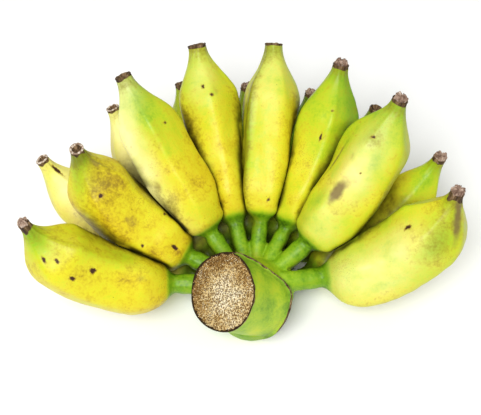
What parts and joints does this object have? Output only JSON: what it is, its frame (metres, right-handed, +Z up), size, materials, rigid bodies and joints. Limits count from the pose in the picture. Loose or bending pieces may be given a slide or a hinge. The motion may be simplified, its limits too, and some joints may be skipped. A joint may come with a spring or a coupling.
{
  "type": "hand of bananas",
  "caption": "Hand of short plump cooking bananas in two rows on a cut crown with a piece of stalk, lying on its back.",
  "frame": {"origin": "middle of the base of the whole hand's box, on the table", "axes": "+X along the spread of the fingers, +Y away from the cut stalk towards the fingertips, +Z up"},
  "size_m": [0.283, 0.1948, 0.1405],
  "materials": {
    "peel_yellow": "waxy banana peel, ripening from green to yellow, with brown specks",
    "peel_green": "waxy banana peel, still yellow-green, with green patches and brown specks",
    "crown": "smooth green crown and pedicels, with a brown-rimmed tan cut face full of fibre ends",
    "remnant": "dry brown withered flower stub"
  },
  "bodies": {
    "root": {"finger_front_1": "peel_yellow", "finger_front_2": "peel_yellow", "finger_front_3": "peel_yellow", "finger_front_4": "peel_yellow", "finger_front_5": "peel_yellow", "finger_front_6": "peel_green", "finger_front_7": "peel_green", "finger_front_8": "peel_green", "finger_back_1": "peel_yellow", "finger_back_2": "peel_yellow", "finger_back_3": "peel_yellow", "finger_back_4": "peel_yellow", "finger_back_5": "peel_green", "finger_back_6": "peel_green", "finger_back_7": "peel_green", "flower_remnant_front_1": "remnant", "flower_remnant_front_6": "remnant", "flower_remnant_front_7": "remnant", "flower_remnant_front_8": "remnant", "flower_remnant_back_4": "remnant", "flower_remnant_back_5": "remnant", "flower_remnant_back_7": "remnant", "crown": "crown"}
  },
  "joints": []
}
